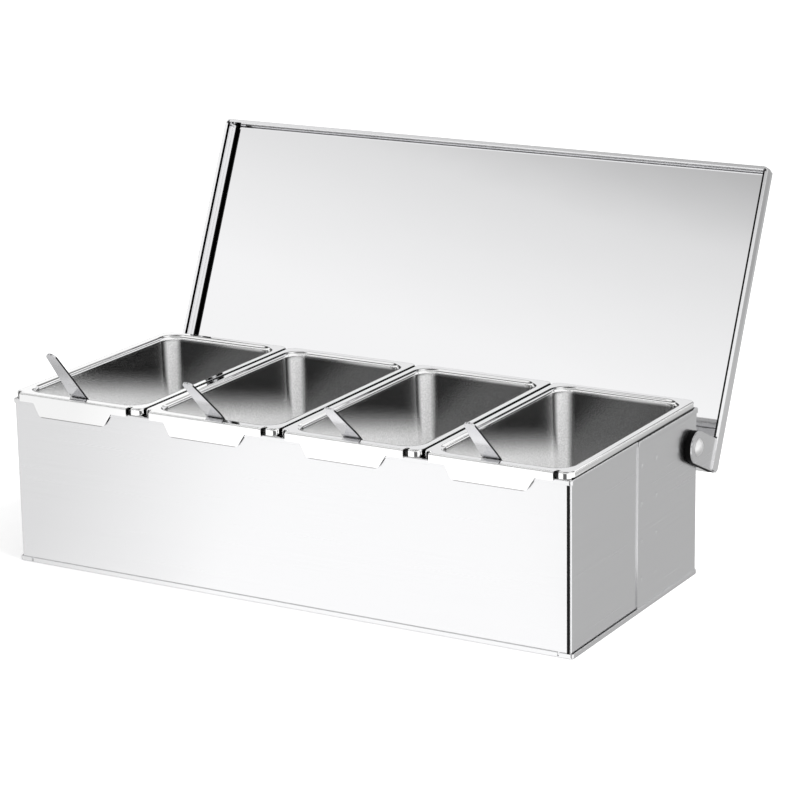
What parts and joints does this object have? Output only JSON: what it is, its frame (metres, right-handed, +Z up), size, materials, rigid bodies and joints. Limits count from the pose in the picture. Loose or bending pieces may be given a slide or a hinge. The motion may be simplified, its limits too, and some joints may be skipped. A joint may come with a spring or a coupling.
{
  "type": "bar garnish tray",
  "caption": "Long steel ice box with a hinged lid that shuts over a row of lift-out pans, each with a serving spoon.",
  "frame": {"origin": "centre of the face that the box stands on", "axes": "+X along the front to the right, +Y to the rear where the lid is hinged, +Z up"},
  "size_m": [0.4138, 0.2997, 0.2454],
  "materials": {
    "brushed_box_steel": "brushed along its length",
    "polished_lid_steel": "mirror polished",
    "satin_pan_steel": "satin",
    "polished_spoon_steel": "polished",
    "rivet_steel": "polished",
    "black_nylon": "matt black"
  },
  "bodies": {
    "box": {"front_shell": "brushed_box_steel", "rear_shell": "brushed_box_steel", "bottom_tray": "brushed_box_steel", "left_hinge_rivet": "rivet_steel", "right_hinge_rivet": "rivet_steel", "left_rivet_washer": "rivet_steel", "right_rivet_washer": "rivet_steel"},
    "lid": {"lid_panel": "polished_lid_steel", "lid_rear_flange": "polished_lid_steel", "left_hinge_ear": "brushed_box_steel", "right_hinge_ear": "brushed_box_steel", "left_hinge_spacer": "black_nylon", "right_hinge_spacer": "black_nylon"},
    "pan_1": {"pan_1": "satin_pan_steel"},
    "pan_2": {"pan_2": "satin_pan_steel"},
    "pan_3": {"pan_3": "satin_pan_steel"},
    "pan_4": {"pan_4": "satin_pan_steel"},
    "spoon_1": {"spoon_1": "polished_spoon_steel"},
    "spoon_2": {"spoon_2": "polished_spoon_steel"},
    "spoon_3": {"spoon_3": "polished_spoon_steel"},
    "spoon_4": {"spoon_4": "polished_spoon_steel"}
  },
  "joints": [
    {"name": "lid_hinge", "type": "hinge", "parent": "box", "child": "lid", "pos_m": [0, 0.078, 0.086], "axis": [-1, 0, 0], "range_deg": [-114.6, 0]},
    {"name": "pan_1_lift", "type": "slide", "parent": "box", "child": "pan_1", "axis": [0, 0, 1], "range_m": [0, 0.12]},
    {"name": "pan_2_lift", "type": "slide", "parent": "box", "child": "pan_2", "axis": [0, 0, 1], "range_m": [0, 0.12]},
    {"name": "pan_3_lift", "type": "slide", "parent": "box", "child": "pan_3", "axis": [0, 0, 1], "range_m": [0, 0.12]},
    {"name": "pan_4_lift", "type": "slide", "parent": "box", "child": "pan_4", "axis": [0, 0, 1], "range_m": [0, 0.12]},
    {"name": "spoon_1_swing", "type": "hinge", "parent": "pan_1", "child": "spoon_1", "pos_m": [-0.14925, -0.006, 0.238], "axis": [-1, 0, 0], "range_deg": [-23, 0]},
    {"name": "spoon_2_swing", "type": "hinge", "parent": "pan_2", "child": "spoon_2", "pos_m": [-0.04975, -0.006, 0.238], "axis": [-1, 0, 0], "range_deg": [-23, 0]},
    {"name": "spoon_3_swing", "type": "hinge", "parent": "pan_3", "child": "spoon_3", "pos_m": [0.04975, -0.006, 0.238], "axis": [-1, 0, 0], "range_deg": [-23, 0]},
    {"name": "spoon_4_swing", "type": "hinge", "parent": "pan_4", "child": "spoon_4", "pos_m": [0.14925, -0.006, 0.238], "axis": [-1, 0, 0], "range_deg": [-23, 0]}
  ],
  "couplings": [
    {"joint": "spoon_1_swing", "follows": "lid_hinge", "ratio": 0.2},
    {"joint": "spoon_2_swing", "follows": "lid_hinge", "ratio": 0.2},
    {"joint": "spoon_3_swing", "follows": "lid_hinge", "ratio": 0.2},
    {"joint": "spoon_4_swing", "follows": "lid_hinge", "ratio": 0.2}
  ]
}
